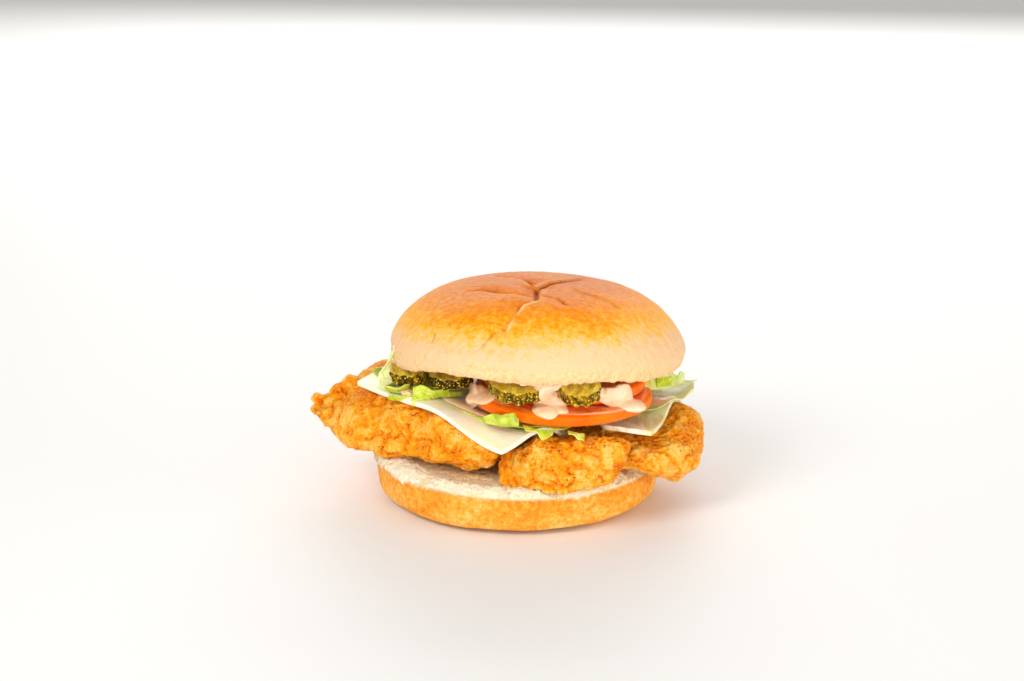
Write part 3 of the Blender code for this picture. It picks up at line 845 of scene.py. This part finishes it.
def ruffle(name, material, held, free, frill, waves, seed):
    """A curl of leaf between two edges, each a route of (x, y, z) in millimetres. The held edge
    lies in the burger; the free one is frilled by that many millimetres, in that many waves."""
    bpy.ops.object.select_all(action="DESELECT")
    bpy.ops.mesh.primitive_grid_add(x_subdivisions=72, y_subdivisions=10, size=2)
    strip = bpy.context.object
    strip.name = name
    points = points_of(strip)
    along, across = (points[:, 0] + 1) / 2, (points[:, 1] + 1) / 2
    inner, outer = curve(held, along), curve(free, along)
    run = curve(held, along + 0.02) - curve(held, along - 0.02)
    span = outer - inner
    facing = np.cross(run, span)
    facing /= np.maximum(np.linalg.norm(facing, axis=1), 1e-6)[:, None]
    flat = np.stack([along * waves, across * 0.5, np.full(len(along), seed)], axis=1)
    swing = np.sin(2 * math.pi * along * waves + seed + 1.5 * relief(flat, 1.0, seed))
    ruck = relief(flat * 1.7, 1.0, seed + 5)
    ends = ease(np.minimum(along, 1 - along) * 8 + 0.3)
    lift = frill * across**1.3 * (swing + 0.5 * ruck) + 0.5 * frill * np.sin(math.pi * across) * ruck
    stretch = 1 + 0.25 * across * relief(flat * [2.3, 1, 1], 1.0, seed + 9)
    places = inner + span * (across * stretch)[:, None] + facing * (lift * ends)[:, None]
    move_to(strip, places * MM)
    finished(strip, "SOLIDIFY", thickness=0.45 * MM, offset=0.0)
    rounded(strip, 1)
    pick(strip)
    bpy.ops.object.mode_set(mode="EDIT")
    bpy.ops.mesh.select_all(action="SELECT")
    bpy.ops.mesh.normals_make_consistent(inside=False)
    bpy.ops.object.mode_set(mode="OBJECT")
    return dress(strip, material)


def sauce(name, pieces, routes, press=0.42):
    """A run of sauce: rounded pats along routes of (x, y, z, radius) in millimetres, pressed flat
    against the pieces below them and melted together."""
    tree = tree_of(*pieces)
    pats = []
    for route in routes:
        count = 2 + int(sum((Vector(a[:3]) - Vector(b[:3])).length for a, b in zip(route, route[1:])) / 1.1)
        for x, y, z, radius in curve(route, np.linspace(0, 1, count if len(route) > 1 else 1)):
            rest, facing = tree.find_nearest(Vector((x, y, z)) * MM)[:2]
            turn = facing.to_track_quat("Z", "Y").to_euler()
            bpy.ops.mesh.primitive_uv_sphere_add(
                segments=20, ring_count=12, radius=radius * MM, location=rest, rotation=turn, scale=(1, 1, press)
            )
            pats.append(bpy.context.object)
    bpy.ops.object.select_all(action="DESELECT")
    for pat in pats:
        pat.select_set(True)
    bpy.context.view_layer.objects.active = pats[0]
    bpy.ops.object.join()
    run = bpy.context.object
    run.name = name
    bpy.ops.object.transform_apply(location=True, rotation=True, scale=True)
    remeshed(run, SAUCE_CELL, 10)
    points = points_of(run)
    points = points + normals_of(run) * (0.15 * MM * relief(points, 3 * MM, 4.0))[:, None]
    move_to(run, points)
    return dress(run, SAUCE)


# ---------------------------------------------------------------- the burger

light_the_set()
place_camera()
lay_floor()
CHICKEN = chicken_finish()
SAUCE = sauce_finish()
BRIGHT = lettuce_finish("leaf_bright", 0.1)
PALE = lettuce_finish("leaf_pale", 0.6)

heel_bun()
fillets = [
    fried("fillet_left", "fried_fillet_left", 3.1, 0.95, (
        (-73.6, 6.0, 32.2, 1.9), (-71.5, 5.5, 31.6, 1.3), (-69.0, 5.0, 31.8, 3.2), (-65.5, 6.0, 34.8, 4.0),
        (-61.0, 7.0, 37.2, 4.0), (-56.0, 8.0, 38.8, 3.4),
    )),
    fried("fillet_right", "fried_fillet_right", 8.4, 1.15),
    fried("fillet_front", "fried_fillet_front", 5.7, 1.25, ((-2.0, -38, 23.2, 5.0), (2.0, -40, 26, 4.6))),
]
pepper(fillets, 170)
cheeses = [cheese("cheese_left", False), cheese("cheese_right", True)]
# lettuce_front is left all green, without the paler rib, as painted shade in the gap under the tomato
leaves = [leaf("lettuce_left", 0.35), leaf("lettuce_front", 0.0), leaf("lettuce_right", 0.6)]
tomatoes = [tomato("tomato_front"), tomato("tomato_back")]
# pickle_2, further back, gets the most painted shade
chips = [pickle("pickle_1", 0.5), pickle("pickle_2", 1.0), pickle("pickle_3", 0.5, (0, 0, -0.8)), pickle("pickle_4", 0.4, (0, -4.0, -2.4))]
crown = crown_bun()

ruffle(
    "lettuce_curl_outer", PALE,
    ((-42.5, -12, 57), (-44.5, -12.5, 54), (-45.5, -13, 50), (-44.5, -15.5, 45.5)),
    ((-43.9, -12, 57.6), (-46.6, -13.4, 52.5), (-49.4, -15.5, 48.0), (-47.8, -19, 44.3)),
    0.5, 1.6, 1.0,
)
ruffle(
    "lettuce_curl_under", BRIGHT,
    ((-46.8, -16, 42.4), (-43.2, -17.5, 42.6), (-39, -17, 43.6)),
    ((-46.8, -18.5, 44.8), (-42.8, -20.5, 44.9), (-38.4, -19.6, 45.8)),
    0.3, 1.6, 2.0,
)
ruffle(
    "lettuce_curl_low", BRIGHT,
    ((-46.3, -17.2, 39.8), (-41.8, -19.9, 39.8), (-36.6, -21.4, 41.2)),
    ((-46.0, -19.0, 41.7), (-41.7, -21.6, 42.3), (-37.0, -22.8, 42.9)),
    0.25, 1.6, 3.0,
)
ruffle(
    "lettuce_fold", BRIGHT,
    ((-37.2, -25.5, 39.6), (-35.2, -24.8, 40.2), (-32.6, -24.6, 41.4), (-27.9, -20.6, 41.4), (-22.7, -16.6, 40.2),
     (-17, -9, 38.6)),
    ((-36.9, -22.5, 45.4), (-34.9, -21.4, 46.6), (-29.9, -21.8, 45.2), (-24.7, -18.5, 43.4), (-20.5, -13, 41.2),
     (-17, -8, 39.2)),
    0.45, 2.2, 4.0,
)
ruffle(
    "lettuce_rib", BRIGHT,
    ((-26.4, -21, 38.9), (-21.2, -26.4, 38.0), (-15.0, -31.6, 37.2), (-10, -35, 36.6)),
    ((-26.1, -22.5, 40.1), (-20.5, -27.4, 39.2), (-14.6, -32.6, 38.6), (-10.1, -36, 38.2)),
    0.35, 5.0, 5.0,
)
ruffle(
    "lettuce_curl_front", BRIGHT,
    ((-12.2, -36.5, 37.6), (-8, -41, 38.0), (-3.7, -44, 38.4), (0.4, -47, 39.6)),
    ((-11.4, -38.5, 41.2), (-8.4, -44, 43.0), (-3.2, -48, 44.4), (0.4, -51, 44.2)),
    0.8, 2.3, 6.4,
)
ruffle(
    "lettuce_frill_left", BRIGHT,
    ((1.8, -46.5, 40.0), (5.4, -48, 39.2), (9.0, -48.5, 38.8), (12.5, -47.5, 38.6)),
    ((2.6, -50.5, 39.6), (6.6, -51.0, 38.6), (9.0, -52.0, 36.2), (11.8, -50.5, 38)),
    0.5, 2.0, 7.0,
)
ruffle(
    "lettuce_frill_right", BRIGHT,
    ((17.1, -47, 38.2), (19.5, -47.5, 37.6), (22.9, -46.5, 36.8)),
    ((17.4, -49.5, 37.9), (20.0, -50.4, 37.0), (22.6, -50.6, 35.2)),
    0.4, 1.5, 8.0,
)
ruffle(
    "lettuce_curl_right", BRIGHT,
    ((49.8, -12.8, 42.6), (52.4, -11.4, 42.6), (55.2, -9.8, 42.2)),
    ((49.6, -15.0, 46.6), (52.6, -13.6, 47.0), (55.2, -12, 46.2)),
    0.4, 1.3, 9.0,
)
ruffle(
    "lettuce_tip_right", PALE,
    ((45.5, -14, 42.0), (50.3, -12, 41.4), (55.3, -8, 40.8), (60.3, -3, 40.4)),
    ((45.3, -15.6, 47.2), (50, -13.6, 47.4), (55, -10, 46.9), (60.4, -5, 45.8)),
    0.7, 3.3, 10.0,
)

sauce("sauce_left", leaves + cheeses, (
    ((-41.6, -15.5, 43.3, 1.5), (-39.6, -19, 42.9, 2.0), (-38.2, -20.6, 41.9, 2.2), (-36.7, -21, 40.6, 2.0)),
))
sauce("sauce_middle", leaves + cheeses + tomatoes, (
    ((-19.6, -14, 37, 4.0), (-17.2, -22.3, 42.1, 4.2), (-14.4, -28, 45, 4.4), (-11.4, -33.4, 46.4, 3.8)),
), 0.3)
sauce("sauce_spread", cheeses, (
    ((-24.2, -16, 39.9, 3.6), (-19.8, -17.5, 38.6, 4.6), (-15.6, -20, 37.4, 4.6), (-12.2, -24, 36.7, 4.0)),
), 0.35)
sauce("sauce_centre", leaves + tomatoes + chips + [crown], (
    ((1.6, -50, 57, 1.2), (5.2, -46.5, 55.5, 2.6), (7.6, -44.5, 54.5, 3.0), (10.3, -44.1, 54, 3.0),
     (13.4, -43, 54.5, 2.8), (16.5, -43, 55.5, 1.4)),
    ((7.6, -44.5, 53.5, 3.0), (9.3, -45.2, 51.2, 3.2), (9.7, -41.4, 48.8, 3.0), (8.0, -42, 46, 3.2),
     (8.6, -45.6, 44.8, 3.8), (10.7, -48, 44.2, 3.2)),
    ((12, -43, 53, 2.6), (12.2, -38.9, 49.8, 3.0), (12.6, -41.6, 48.1, 3.0), (14, -42.8, 44.6, 3.4),
     (15.1, -45.6, 44.6, 2.6)),
))
sauce("sauce_right", leaves + tomatoes + chips, (
    ((27, -43, 51, 1.5), (29.5, -40.5, 49.2, 2.6), (32, -39, 47.6, 3.4), (34.8, -37, 46.4, 4.0),
     (37.7, -36, 45.4, 4.4), (40.4, -35.4, 44.8, 4.2), (42.6, -34.4, 44.4, 3.0)),
    ((36.5, -38.5, 48.6, 3.2), (38.8, -38, 47.8, 3.6), (41, -36.6, 46.8, 3.4), (42.8, -35.4, 45.8, 2.8)),
), 0.36)
sauce("sauce_far_right", leaves + cheeses, (
    ((46.5, -14, 37.4, 2.4), (48.7, -12.3, 37.1, 3.6), (51, -12.9, 37.1, 3.8), (53.6, -11.6, 37.4, 3.0)),
), 0.22)
sauce("sauce_drip", [crown] + chips, (
    ((-43.3, -11.8, 57.4, 1.0), (-44.5, -11.5, 54.5, 1.1), (-44, -11, 52, 1.0)),
))
